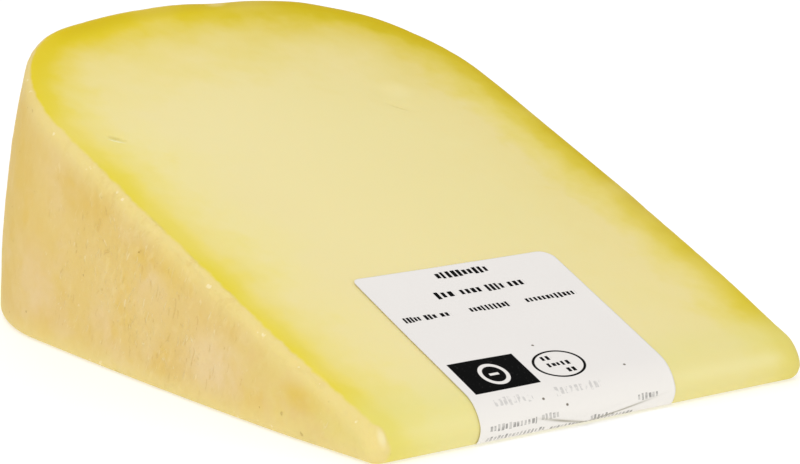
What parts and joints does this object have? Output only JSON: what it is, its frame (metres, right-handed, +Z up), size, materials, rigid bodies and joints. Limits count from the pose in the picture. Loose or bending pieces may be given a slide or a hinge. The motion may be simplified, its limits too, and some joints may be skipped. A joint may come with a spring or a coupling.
{
  "type": "cheese wedge",
  "caption": "Thick wedge of young semi-hard cheese with a soft-edged rind, lying on a cut face, with a folded paper label over its blunt tip.",
  "frame": {"origin": "middle of the wedge's underside, at the level that it lies on", "axes": "+X across the wedge, along the axis of the wheel it was cut from; +Y from the blunt tip to the rim; +Z up"},
  "size_m": [0.112, 0.1474, 0.0578],
  "materials": {
    "cheese": "smooth satin cheese, pale inside, yellow towards the rind, tan on the rind",
    "label_paper": "satin white label paper with plain black marks"
  },
  "bodies": {
    "root": {"cheese_wedge": "cheese", "label": "label_paper"}
  },
  "joints": []
}
